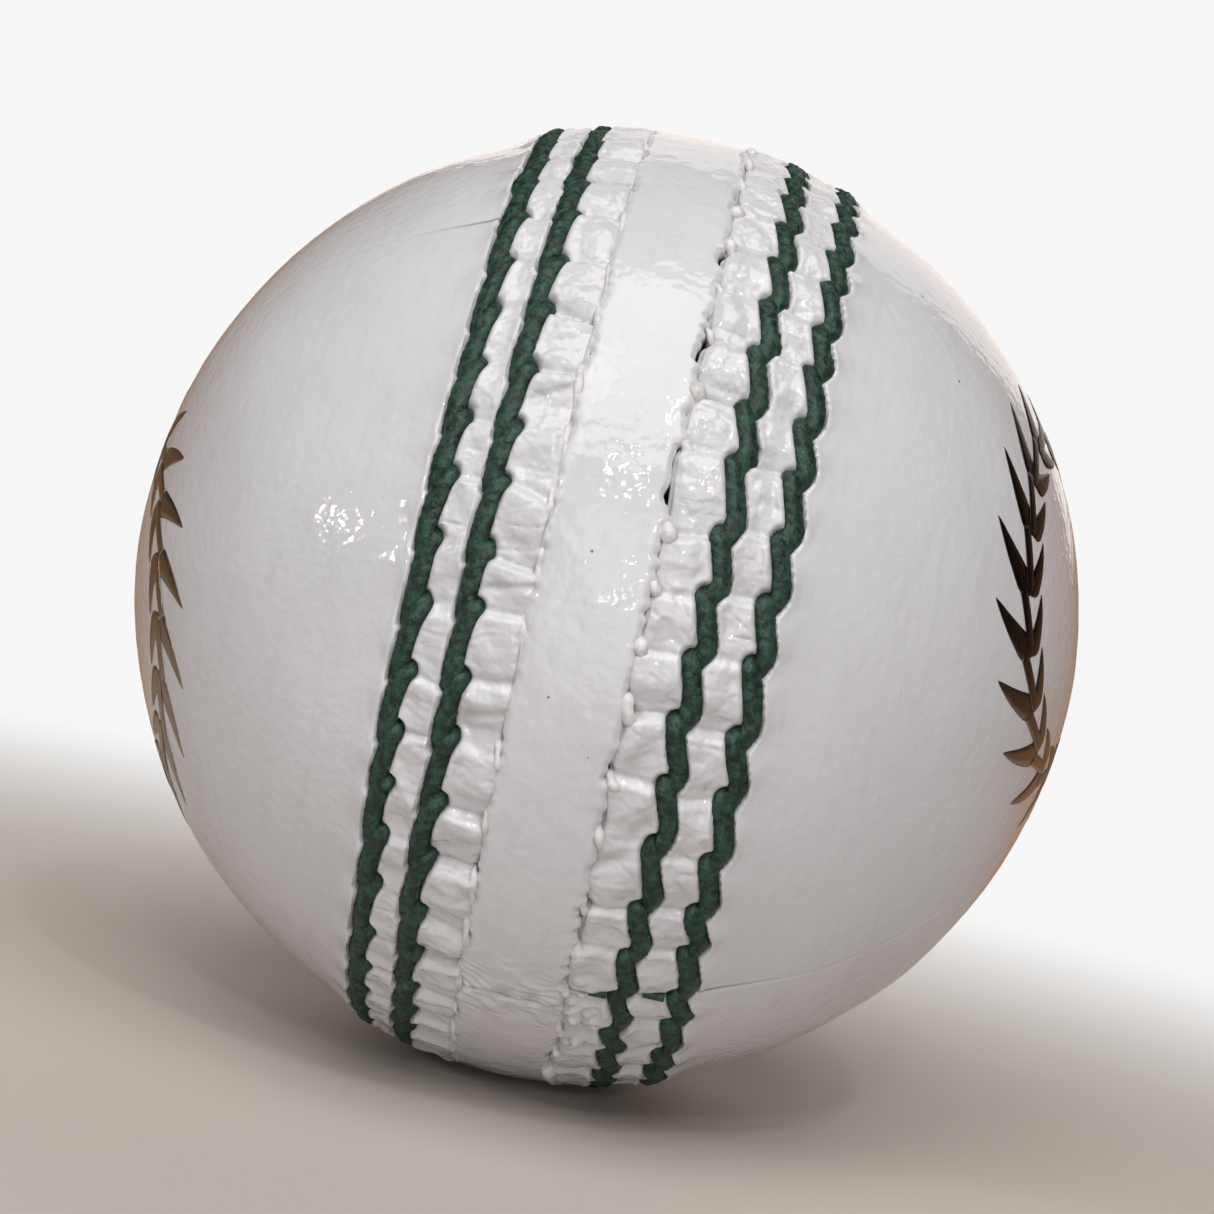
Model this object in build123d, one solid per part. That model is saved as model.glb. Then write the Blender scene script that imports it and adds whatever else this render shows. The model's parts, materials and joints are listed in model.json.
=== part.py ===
from build123d import *

import os
from math import cos, degrees, radians, sin, sqrt

# Four-piece cricket ball, in millimetres. The origin is the ball's centre. X is the axis through the two
# poles, so the main seam lies in the YZ plane, and +Z is up. Angles round the seam start at the front (-Y)
# and grow upwards (+Z). Each cup is two leather quarters closed by a hidden joint over its pole, and the
# joints of the left cup (-X) and the right cup (+X) are a quarter turn apart.

# Driving dimensions
CHEEK_RADIUS = 35.7         # bare leather, 224.3 mm round
SEAM_CREST_RADIUS = 36.4    # over the raised seam, 228.7 mm round
BAND_CREST_RADIUS = 36.3
FIT_GAP = 0.05              # between pieces that lie against each other

CORE_RADIUS = 14.0          # cork and rubber centre
WRAP_RADII = [              # name, inner and outer radius of each layer round the core
    ("yarn_winding_inner", 14.0, 17.5),
    ("cork_wrap_inner", 17.5, 20.0),
    ("yarn_winding_middle", 20.0, 23.5),
    ("cork_wrap_outer", 23.5, 26.0),
    ("yarn_winding_outer", 26.0, 31.55),
]

FLANGE_INNER_RADIUS = 31.65  # inside of the leather under the seam
CUP_INNER_RADIUS = 32.4      # inside of the leather over the cheeks, where the lining lies
LINING_START = 12.7          # distance of the lining's edge from the seam plane

STITCH_COUNT = 52            # in each row
OUTER_ROW = 11.05            # distance of each green row from the seam plane
INNER_ROW = 7.25
ROW_HALF_WIDTH = 1.1         # half width of the channel that a row lies in
ROW_FLOOR_RADIUS = 34.9
THREAD_RADIUS = 0.6
THREAD_CENTRE_RADIUS = 35.6  # distance of a surface stitch's middle from the ball's centre
STITCH_SLANT = 0.45          # a stitch starts this far inside its row's middle and ends this far outside
STITCH_START = 0.95          # length between an awl hole and the start of the next stitch
STITCH_BEND = 0.65
STITCH_FOOT_RADIUS = 31.85   # where a stitch's leg ends, inside the leather
AWL_CLEARANCE = 0.06

BAND_HALF_WIDTH = 2.7        # the smooth leather band along the middle of the seam
BAND_CHAMFER = 0.8
BAND_SHOULDER_RADIUS = 35.2
BAND_JOINT_ANGLE = -48.0      # where the band's two ends meet
BAND_JOINT_GAP = 0.12
RIM_DISTANCE = 3.3           # the cups' rims, each beside the band
RIM_RADIUS = 35.0
RIM_SLOPE_END = 4.8

EDGE_THREAD_RADIUS = 0.25    # white thread that laces each rim to the band
EDGE_LEG_FOOT = 33.5
EDGE_LEG_TOP = 35.45
EDGE_RUN_END = (4.2, 1.0, 36.15)   # distance from the seam plane, length along it, distance from the centre
EDGE_BEND = 0.3

CUP_JOINT_ANGLES = {-1: 45.0, 1: -45.0}  # the quarter joint's angle on the left and on the right cup
CLOSING_THREAD_RADIUS = 0.2  # hidden thread inside each quarter joint
CLOSING_CENTRE_RADIUS = 32.75
CLOSING_SPAN = 128.0

TAIL_ANGLES = {-1: -135.0, 1: -45.0}  # the end of each cup's quarter joint where its threads end
TAIL_RADIUS = 0.32           # thread ends, tucked into the quarter joint between the rows
TAIL_CENTRE_RADIUS = 35.95
TAIL_GAP = 0.08

STITCH_PITCH = 360 / STITCH_COUNT
LEFT, RIGHT = -1, 1


def seam_point(distance, angle, radius):
    """A point at a distance along X from the seam plane, an angle round the seam and a radius from the centre."""
    off_axis = sqrt(radius**2 - distance**2)
    turn = radians(angle)
    return Vector(distance, -off_axis * cos(turn), off_axis * sin(turn))


def angle_of(length, distance, radius):
    """The angle in degrees that a length along the seam covers at that place."""
    return degrees(length / sqrt(radius**2 - distance**2))


def profile_point(distance, radius):
    """A point of a cup's section in the XY plane, by its distance from the seam plane and from the centre."""
    return (distance, sqrt(radius**2 - distance**2))


def round_the_seam(piece):
    """Copies of a piece at every stitch of a row."""
    return [Rot(X=-i * STITCH_PITCH) * piece for i in range(STITCH_COUNT)]


def shell(inner, outer):
    return Sphere(outer) - Sphere(inner)


def half_space(angle):
    """A large block on the side of the centre that faces an angle round the seam, a small gap away from it."""
    size = 4 * CHEEK_RADIUS
    return Rot(X=-angle) * Pos(0, -(size + FIT_GAP) / 2, 0) * Box(size, size, size)


def swept_thread(points, bend, radius):
    """A round thread along straight runs joined by an arc, with a rounded start."""
    path = FilletPolyline(*points, radius=bend)
    section = Plane(origin=path @ 0, z_dir=path % 0) * Circle(radius)
    return sweep(section, path=path) + Pos(points[0]) * Sphere(radius)


# Cork core and the layers wound round it

def core():
    return Sphere(CORE_RADIUS - FIT_GAP)


def wrapped_layers():
    """Yarn windings as whole shells, and each cork wrap as two half shells."""
    halves = {
        "cork_wrap_inner": [("upper", 90), ("lower", -90)],
        "cork_wrap_outer": [("front", 0), ("back", 180)],
    }
    made = {}
    for name, inner, outer in WRAP_RADII:
        layer = shell(inner, outer - FIT_GAP)
        if name not in halves:
            made[name] = layer
            continue
        for side, angle in halves[name]:
            made[f"{name}_{side}"] = layer & half_space(angle)
    return made


# Leather cups

def cup_section():
    """Half section of the right cup's leather: cheek, two row channels with a pad between, and the rim."""
    cheek_end = OUTER_ROW + ROW_HALF_WIDTH
    inner_pad = (INNER_ROW + OUTER_ROW) / 2
    outer_channel_end = OUTER_ROW - ROW_HALF_WIDTH
    inner_channel_start = INNER_ROW + ROW_HALF_WIDTH
    inner_channel_end = INNER_ROW - ROW_HALF_WIDTH
    pad_edge_radius = CHEEK_RADIUS + 0.2
    rim_pad = (inner_channel_end + RIM_SLOPE_END) / 2
    cheek_middle = profile_point(CHEEK_RADIUS * 0.8, CHEEK_RADIUS)
    cup_middle = profile_point(CUP_INNER_RADIUS * 0.8, CUP_INNER_RADIUS)
    flange_middle = (RIM_DISTANCE + LINING_START) / 2
    return [
        ThreePointArc((CHEEK_RADIUS, 0), cheek_middle, profile_point(cheek_end, CHEEK_RADIUS)),
        Line(profile_point(cheek_end, CHEEK_RADIUS), profile_point(cheek_end, ROW_FLOOR_RADIUS)),
        ThreePointArc(
            profile_point(cheek_end, ROW_FLOOR_RADIUS),
            profile_point(OUTER_ROW, ROW_FLOOR_RADIUS),
            profile_point(outer_channel_end, ROW_FLOOR_RADIUS),
        ),
        Line(
            profile_point(outer_channel_end, ROW_FLOOR_RADIUS),
            profile_point(outer_channel_end, pad_edge_radius),
        ),
        ThreePointArc(
            profile_point(outer_channel_end, pad_edge_radius),
            profile_point(inner_pad, SEAM_CREST_RADIUS - 0.1),
            profile_point(inner_channel_start, pad_edge_radius),
        ),
        Line(
            profile_point(inner_channel_start, pad_edge_radius),
            profile_point(inner_channel_start, ROW_FLOOR_RADIUS),
        ),
        ThreePointArc(
            profile_point(inner_channel_start, ROW_FLOOR_RADIUS),
            profile_point(INNER_ROW, ROW_FLOOR_RADIUS),
            profile_point(inner_channel_end, ROW_FLOOR_RADIUS),
        ),
        Line(
            profile_point(inner_channel_end, ROW_FLOOR_RADIUS),
            profile_point(inner_channel_end, pad_edge_radius),
        ),
        ThreePointArc(
            profile_point(inner_channel_end, pad_edge_radius),
            profile_point(rim_pad, SEAM_CREST_RADIUS),
            profile_point(RIM_SLOPE_END, SEAM_CREST_RADIUS - 0.1),
        ),
        Line(
            profile_point(RIM_SLOPE_END, SEAM_CREST_RADIUS - 0.1),
            profile_point(RIM_DISTANCE, RIM_RADIUS),
        ),
        Line(profile_point(RIM_DISTANCE, RIM_RADIUS), profile_point(RIM_DISTANCE, FLANGE_INNER_RADIUS)),
        ThreePointArc(
            profile_point(RIM_DISTANCE, FLANGE_INNER_RADIUS),
            profile_point(flange_middle, FLANGE_INNER_RADIUS),
            profile_point(LINING_START, FLANGE_INNER_RADIUS),
        ),
        Line(
            profile_point(LINING_START, FLANGE_INNER_RADIUS),
            profile_point(LINING_START, CUP_INNER_RADIUS),
        ),
        ThreePointArc(
            profile_point(LINING_START, CUP_INNER_RADIUS), cup_middle, (CUP_INNER_RADIUS, 0)
        ),
        Line((CUP_INNER_RADIUS, 0), (CHEEK_RADIUS, 0)),
    ]


def whole_cup(side):
    """One cup before it is cut into quarters."""
    cup = revolve(make_face(cup_section()), axis=Axis.X)
    return cup if side == RIGHT else mirror(cup, about=Plane.YZ)


def row_distances(side):
    return [side * INNER_ROW, side * OUTER_ROW]


def awl_holes(side):
    """The holes that the green rows' legs go down, on one cup."""
    holes = []
    for distance in row_distances(side):
        hole_distance = distance + side * STITCH_SLANT
        mouth = seam_point(hole_distance, STITCH_PITCH / 2, SEAM_CREST_RADIUS)
        foot = seam_point(hole_distance, STITCH_PITCH / 2, FLANGE_INNER_RADIUS - 1)
        # Both points are at one distance from the seam plane, so the leg is square to the X axis.
        path = Line(foot, mouth)
        section = Plane(origin=foot, z_dir=path % 0) * Circle(THREAD_RADIUS + AWL_CLEARANCE)
        holes += round_the_seam(sweep(section, path=path))
    return holes


def closing_ring(side, radius, span):
    """The arc of thread, or of its groove, along one cup's quarter joint."""
    section = Pos(side * CLOSING_CENTRE_RADIUS, 0, 0) * Plane.XZ * Circle(radius)
    # The circle starts at the pole, is turned back half the span and then swept through the whole span.
    arc = revolve(Rot(Z=-span / 2) * section, axis=Axis.Z, revolution_arc=span)
    return Rot(X=-CUP_JOINT_ANGLES[side]) * arc


def tail_runs(side):
    """Start and end distances of the thread ends that lie across the pads of one cup."""
    middle_pad = (INNER_ROW + ROW_HALF_WIDTH + TAIL_GAP, OUTER_ROW - ROW_HALF_WIDTH - TAIL_GAP)
    rim_pad = (RIM_SLOPE_END + TAIL_GAP, INNER_ROW - ROW_HALF_WIDTH - TAIL_GAP)
    return [tuple(side * d for d in run) for run in (middle_pad, rim_pad)]


def tails(side, radius, extra=0.0):
    """Thread ends, or their grooves, across the pads at the cup's quarter joint."""
    made = []
    for near, far in tail_runs(side):
        middle = (near + far) / 2
        height = sqrt(TAIL_CENTRE_RADIUS**2 - middle**2)
        rod = Rot(Y=90) * Cylinder(radius, abs(far - near) + 2 * extra)
        made.append(Rot(X=-TAIL_ANGLES[side]) * Pos(middle, -height, 0) * rod)
    return made


def quarters(side):
    """The two leather quarters of one cup, with their awl holes and the hidden groove of the joint."""
    cup = whole_cup(side)
    groove = closing_ring(side, CLOSING_THREAD_RADIUS + FIT_GAP, CLOSING_SPAN + 1)
    tools = [groove, *awl_holes(side), *tails(side, TAIL_RADIUS + FIT_GAP, extra=2 * TAIL_GAP)]
    # The front quarter is the one that holds the front (-Y) of its cup.
    to_front = 90 if CUP_JOINT_ANGLES[side] < 0 else -90
    facing = {"front": CUP_JOINT_ANGLES[side] + to_front, "back": CUP_JOINT_ANGLES[side] - to_front}
    return {place: (cup & half_space(angle)) - tools for place, angle in facing.items()}


def lining(side):
    """The thin leather cap that is glued inside one cup, over its quarter joint."""
    outer = CUP_INNER_RADIUS - FIT_GAP
    edge = LINING_START + FIT_GAP
    section = [
        ThreePointArc((outer, 0), profile_point(outer * 0.8, outer), profile_point(edge, outer)),
        Line(profile_point(edge, outer), profile_point(edge, FLANGE_INNER_RADIUS)),
        ThreePointArc(
            profile_point(edge, FLANGE_INNER_RADIUS),
            profile_point(FLANGE_INNER_RADIUS * 0.8, FLANGE_INNER_RADIUS),
            (FLANGE_INNER_RADIUS, 0),
        ),
        Line((FLANGE_INNER_RADIUS, 0), (outer, 0)),
    ]
    cap = revolve(make_face(section), axis=Axis.X)
    return cap if side == RIGHT else mirror(cap, about=Plane.YZ)


# The band along the middle of the seam

def seam_band():
    crest = profile_point(0, BAND_CREST_RADIUS)
    inner_edge = BAND_HALF_WIDTH - BAND_CHAMFER
    right = [
        profile_point(inner_edge, BAND_CREST_RADIUS - 0.1),
        profile_point(BAND_HALF_WIDTH, BAND_SHOULDER_RADIUS),
        profile_point(BAND_HALF_WIDTH, FLANGE_INNER_RADIUS),
    ]
    left = [(-x, y) for x, y in right]
    section = [
        ThreePointArc(left[0], crest, right[0]),
        Line(right[0], right[1]),
        Line(right[1], right[2]),
        ThreePointArc(right[2], profile_point(0, FLANGE_INNER_RADIUS), left[2]),
        Line(left[2], left[1]),
        Line(left[1], left[0]),
    ]
    ring = revolve(make_face(section), axis=Axis.X)
    cut = Pos(0, -BAND_CREST_RADIUS, 0) * Box(4 * BAND_HALF_WIDTH, 12, BAND_JOINT_GAP)
    return ring - Rot(X=-BAND_JOINT_ANGLE) * cut


# Threads

def green_row(distance, side):
    """One row of stitches: each runs down along the row, slanting outwards, then in through its awl hole."""
    first_angle = STITCH_PITCH / 2
    start_distance = distance - side * STITCH_SLANT
    end_distance = distance + side * STITCH_SLANT
    start_angle = first_angle - angle_of(STITCH_START, start_distance, THREAD_CENTRE_RADIUS)
    end_angle = first_angle - STITCH_PITCH
    points = [
        seam_point(start_distance, start_angle, THREAD_CENTRE_RADIUS),
        seam_point(end_distance, end_angle, THREAD_CENTRE_RADIUS),
        seam_point(end_distance, end_angle, STITCH_FOOT_RADIUS),
    ]
    return Compound(children=round_the_seam(swept_thread(points, STITCH_BEND, THREAD_RADIUS)))


def edge_row(side):
    """White lacing stitches: each comes up between the band and the rim and lies over the rim's slope."""
    run_distance, run_length, run_radius = EDGE_RUN_END
    leg_distance = side * (BAND_HALF_WIDTH + RIM_DISTANCE) / 2
    points = [
        seam_point(side * run_distance, angle_of(run_length, run_distance, run_radius), run_radius),
        seam_point(leg_distance, 0, EDGE_LEG_TOP),
        seam_point(leg_distance, 0, EDGE_LEG_FOOT),
    ]
    return Compound(children=round_the_seam(swept_thread(points, EDGE_BEND, EDGE_THREAD_RADIUS)))


def closing_thread(side):
    return closing_ring(side, CLOSING_THREAD_RADIUS, CLOSING_SPAN)


def thread_tails(side):
    return Compound(children=tails(side, TAIL_RADIUS))


def build():
    """Every node of the ball, by name."""
    nodes = {"cork_core": core(), **wrapped_layers(), "seam_band": seam_band()}
    for side, name in ((LEFT, "left"), (RIGHT, "right")):
        for place, quarter in quarters(side).items():
            nodes[f"cover_{name}_{place}"] = quarter
        nodes[f"lining_{name}"] = lining(side)
        nodes[f"closing_thread_{name}"] = closing_thread(side)
        nodes[f"stitches_{name}_outer"] = green_row(side * OUTER_ROW, side)
        nodes[f"stitches_{name}_inner"] = green_row(side * INNER_ROW, side)
        nodes[f"edge_stitches_{name}"] = edge_row(side)
        nodes[f"thread_tails_{name}"] = thread_tails(side)
    return nodes


def main():
    os.makedirs("parts", exist_ok=True)
    for name, shape in build().items():
        export_step(shape, f"parts/{name}.step")
        print(name, "solids", len(shape.solids()), "volume", round(shape.volume, 1))


main()
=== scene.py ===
import json
from math import asin, cos, pi, radians, sin, sqrt, tau

import bpy
import numpy as np
from mathutils import Matrix, Vector


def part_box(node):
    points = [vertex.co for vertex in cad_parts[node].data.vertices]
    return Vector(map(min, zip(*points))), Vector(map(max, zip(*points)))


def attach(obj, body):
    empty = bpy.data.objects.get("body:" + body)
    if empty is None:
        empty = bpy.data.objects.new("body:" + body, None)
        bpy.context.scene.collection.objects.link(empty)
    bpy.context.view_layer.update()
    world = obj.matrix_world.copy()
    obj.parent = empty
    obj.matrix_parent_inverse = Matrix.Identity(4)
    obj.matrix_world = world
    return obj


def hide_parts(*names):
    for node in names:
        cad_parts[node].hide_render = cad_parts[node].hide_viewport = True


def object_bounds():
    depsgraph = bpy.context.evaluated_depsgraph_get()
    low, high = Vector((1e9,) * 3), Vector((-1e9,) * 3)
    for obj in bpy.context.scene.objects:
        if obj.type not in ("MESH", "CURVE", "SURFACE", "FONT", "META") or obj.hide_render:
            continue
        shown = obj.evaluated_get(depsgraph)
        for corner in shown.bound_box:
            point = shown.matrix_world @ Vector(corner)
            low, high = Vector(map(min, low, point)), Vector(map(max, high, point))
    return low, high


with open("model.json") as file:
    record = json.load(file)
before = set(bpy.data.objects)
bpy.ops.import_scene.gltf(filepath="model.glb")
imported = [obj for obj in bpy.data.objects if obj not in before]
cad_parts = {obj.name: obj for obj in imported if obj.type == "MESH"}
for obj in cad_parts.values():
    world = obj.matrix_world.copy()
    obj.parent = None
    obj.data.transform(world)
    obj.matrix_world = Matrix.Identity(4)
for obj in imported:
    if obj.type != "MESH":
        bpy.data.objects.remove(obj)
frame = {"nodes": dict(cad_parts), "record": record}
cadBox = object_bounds()

# A white cricket ball. X is the axis through the two poles and the seam lies in the YZ plane.
# Lengths in the dictionaries are in millimetres.
# Angles round the seam start at the front (-Y) and grow upwards.
mm = 0.001
left, right = -1, 1
sideNames = {left: "left", right: "right"}


# Sizes are taken from the frame.
def nodeBox(name):
    low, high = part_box(name)
    return np.array(low) / mm, np.array(high) / mm


ball = {
    "cheekRadius": nodeBox("cover_right_front")[1][0],
    "bandRadius": nodeBox("seam_band")[1][2],
    "innerRow": sum(box[0] for box in nodeBox("stitches_right_inner")) / 2,
    "outerRow": sum(box[0] for box in nodeBox("stitches_right_outer")) / 2,
    "leftInnerShift": 0.40,     # the left inner row was sewn a little further from the band
    "stitchCount": 52,
    "jointAngles": {left: radians(45), right: radians(-45)},
    "bandJointAngle": radians(-48),
}
pitchAngle = tau / ball["stitchCount"]


def deselectAll():
    if bpy.context.mode != "OBJECT":
        bpy.ops.object.mode_set(mode="OBJECT")
    bpy.ops.object.select_all(action="DESELECT")


def choose(piece):
    deselectAll()
    piece.select_set(True)
    bpy.context.view_layer.objects.active = piece


def readPoints(piece):
    flat = np.empty(len(piece.data.vertices) * 3)
    piece.data.vertices.foreach_get("co", flat)
    return flat.reshape(-1, 3) / mm


def writePoints(piece, points):
    piece.data.vertices.foreach_set("co", (points * mm).ravel())
    piece.data.update()


def writeValues(piece, name, values):
    layer = piece.data.attributes.get(name) or piece.data.attributes.new(name, "FLOAT", "POINT")
    layer.data.foreach_set("value", np.asarray(values, float))


def settle(piece, body="root"):
    # The finished piece sits at the origin with its place in its mesh.
    choose(piece)
    bpy.ops.object.transform_apply(location=True, rotation=True, scale=True)
    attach(piece, body)
    return piece


def lathe(name, distance, radius, start, sweep, steps):
    # Turns a closed outline round X with a Screw modifier, from a starting angle, and closes its ends.
    deselectAll()
    bpy.ops.mesh.primitive_circle_add(vertices=len(distance), radius=ball["cheekRadius"] * mm)
    piece = bpy.context.active_object
    piece.name = name
    writePoints(piece, seamPoint(distance, np.full(len(distance), start), radius))
    turn = piece.modifiers.new("turn", "SCREW")
    turn.axis = "X"
    turn.angle = -sweep
    turn.steps = turn.render_steps = steps
    turn.use_smooth_shade = True
    bpy.ops.object.modifier_apply(modifier=turn.name)
    bpy.ops.object.mode_set(mode="EDIT")
    bpy.ops.mesh.select_all(action="SELECT")
    bpy.ops.mesh.remove_doubles(threshold=0.002 * mm)
    bpy.ops.mesh.select_all(action="DESELECT")
    bpy.ops.mesh.select_mode(type="EDGE")
    bpy.ops.mesh.select_non_manifold()
    bpy.ops.mesh.edge_face_add()
    bpy.ops.mesh.select_all(action="SELECT")
    bpy.ops.mesh.normals_make_consistent(inside=False)
    bpy.ops.object.mode_set(mode="OBJECT")
    return piece


def smooth(start, end, value):
    part = np.clip((value - start) / (end - start), 0, 1)
    return part * part * (3 - 2 * part)


def wobble(points, size, seed, waves=14):
    # Smooth seeded unevenness in space, about -1 to 1, with bumps about this size in millimetres.
    dice = np.random.default_rng(seed)
    directions = dice.normal(size=(waves, 3))
    directions /= np.linalg.norm(directions, axis=1)[:, None]
    lengths = size * dice.uniform(0.7, 1.6, waves)
    phases = dice.uniform(0, tau, waves)
    total = np.sin(points @ (directions * (tau / lengths)[:, None]).T + phases).sum(axis=1)
    return total * sqrt(2 / waves) / 1.6


def around(angle, low, high, seed):
    # Smooth seeded unevenness round the seam, about -1 to 1; it has from low to high waves in a turn.
    dice = np.random.default_rng(seed)
    counts = np.unique(dice.integers(low, high, 12))
    phases = dice.uniform(0, tau, len(counts))
    total = np.zeros_like(angle)
    for count, phase in zip(counts, phases):
        total += np.sin(angle * count + phase)
    return total * sqrt(2 / len(counts)) / 1.6


def seamPoint(distance, angle, radius):
    # A point by its distance from the seam plane, its angle round the seam and its distance from the centre.
    offAxis = np.sqrt(np.maximum(radius**2 - distance**2, 0))
    return np.stack([distance, -offAxis * np.cos(angle), offAxis * np.sin(angle)], axis=-1)


seamShape = {
    "threadRadius": 0.66,
    "threadCentre": 35.62,      # distance of a thread's middle from the ball's centre
    "unevenPitch": 0.10,        # how far a stitch strays along its row, in pitches
    "unevenRow": 0.10,          # how far a row strays sideways
    # A stitch on each side: along the row, away from the seam plane, and up from the thread's middle.
    "stitchPath": {
        left: [
            (-0.25, -0.44, -1.00),
            (0.00, -0.52, -0.35),
            (0.30, -0.46, 0.04),
            (0.90, -0.22, 0.09),
            (2.00, -0.04, 0.03),
            (3.20, 0.08, 0.00),
            (4.30, 0.12, -0.12),
            (5.20, 0.14, -0.50),
            (5.70, 0.12, -1.05),
        ],
        right: [
            (-0.10, -0.36, -1.00),
            (0.06, -0.47, -0.25),
            (0.45, -0.46, 0.08),
            (1.30, -0.24, 0.08),
            (2.30, 0.04, 0.04),
            (3.10, 0.26, 0.00),
            (3.70, 0.24, -0.04),
            (4.30, -0.02, -0.18),
            (4.90, -0.32, -0.50),
            (5.20, -0.44, -1.05),
        ],
    },
}


def rowName(side, place):
    return f"stitches_{sideNames[side]}_{place}"


def rowSeed(side, place):
    return {(left, "outer"): 11, (left, "inner"): 12, (right, "inner"): 13, (right, "outer"): 14}[side, place]


def rowDistance(side, place):
    if place == "outer":
        return ball["outerRow"]
    return ball["innerRow"] + (ball["leftInnerShift"] if side == left else 0)


def rowStray(angle, side, place):
    # How far the stitches lie ahead along the row, in radians.
    seed = rowSeed(side, place)
    return seamShape["unevenPitch"] * pitchAngle * (
        around(angle, 3, 11, seed) + 0.55 * around(angle, 18, 34, seed + 40)
    )


def rowSway(angle, side, place):
    seed = rowSeed(side, place)
    return seamShape["unevenRow"] * (
        around(angle, 4, 12, seed + 80) + 0.5 * around(angle, 20, 40, seed + 90)
    )


def stitchPhase(angle, side, place):
    # Counts stitches down the row: a whole number is where a stitch comes out of its hole.
    return -(angle + rowStray(angle, side, place)) / pitchAngle + 0.5


def smoothPath(points, steps):
    # A Catmull-Rom curve through the points.
    nodes = [np.array(point) for point in points]
    nodes = [2 * nodes[0] - nodes[1], *nodes, 2 * nodes[-1] - nodes[-2]]
    curve = []
    for a, b, c, d in zip(nodes, nodes[1:], nodes[2:], nodes[3:]):
        for i in range(steps):
            t = i / steps
            bend = (2 * a - 5 * b + 4 * c - d) * t**2
            twist = (3 * b - a - 3 * c + d) * t**3
            curve.append(0.5 * (2 * b + (c - a) * t + bend + twist))
    return np.array([*curve, nodes[-2]])


def threadClearance(distance, angle, side, place):
    # Distance along the leather from a point to the nearest thread of a row, seen from above.
    pitchLength = pitchAngle * sqrt(seamShape["threadCentre"] ** 2 - rowDistance(side, place) ** 2)
    phase = stitchPhase(angle, side, place)
    along = (phase - np.floor(phase)) * pitchLength
    across = distance - rowDistance(side, place) - rowSway(angle, side, place)
    path = smoothPath(seamShape["stitchPath"][side], 3)
    path = path[path[:, 2] > -0.6]
    nearest = np.full(len(along), 99.0)
    for shift in (-pitchLength, 0, pitchLength):
        for start, end in zip(path[:-1], path[1:]):
            run = end[:2] - start[:2]
            fromStart = np.stack([along - shift - start[0], across - start[1]], axis=-1)
            part = np.clip(fromStart @ run / (run @ run), 0, 1)
            gap = np.hypot(*(fromStart - part[:, None] * run).T)
            nearest = np.minimum(nearest, gap)
    return nearest


coverShape = {
    "columnsPerStitch": 30,
    "rimDistance": {left: 3.52, right: 3.16},   # the cups' edge beside the band
    "rimSway": {left: 0.07, right: 0.15},
    "rimScallop": {left: 0.09, right: 0.22},    # how far the leather draws back from the band at each crease
    "wallRadius": 33.2,
    "padRadius": 36.12,
    "creaseDepth": {left: 0.74, right: 0.58},
    "outerCreaseDepth": 0.46,
    "jointGroove": {left: 0.07, right: 0.16},
    "cheekUneven": 0.05,
    "edgeDrop": {left: 0.32, right: 0.62},
    "shoulder": 0.34,           # rise of the leather outside the outer row
    "pucker": 0.10,
    "threadGroove": 0.95,       # how deep the threads press in, and the lip beside them
    "threadLip": 0.07,
    "padLumps": 0.105,
    "padRoughness": 0.026,
    "padWrinkles": 0.12,
    "padFolds": 0.22,
    "tornReach": 3.4,           # how far the torn patch reaches along the seam
    "tornLumps": 0.62,
}


def coverProfile(side):
    # The section's outline as (distance from the seam plane, distance from the centre): outside, then inside.
    rim = coverShape["rimDistance"][side]
    cheek = ball["cheekRadius"]
    seamZone = np.linspace(rim, 12.9, 60)
    start = asin(12.9 / cheek)
    turns = start + (pi / 2 - start) * np.linspace(0, 1, 26)[1:] ** 1.25
    outside = [(d, cheek) for d in seamZone] + [(cheek * sin(t), cheek) for t in turns]
    wall = coverShape["wallRadius"]
    inside = [(wall * sin(t), wall) for t in np.linspace(pi / 2, asin(rim / wall), 9)]
    edge = [(rim, radius) for radius in (33.8, 34.4, 34.9, 35.3)]
    return outside, inside + edge


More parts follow.
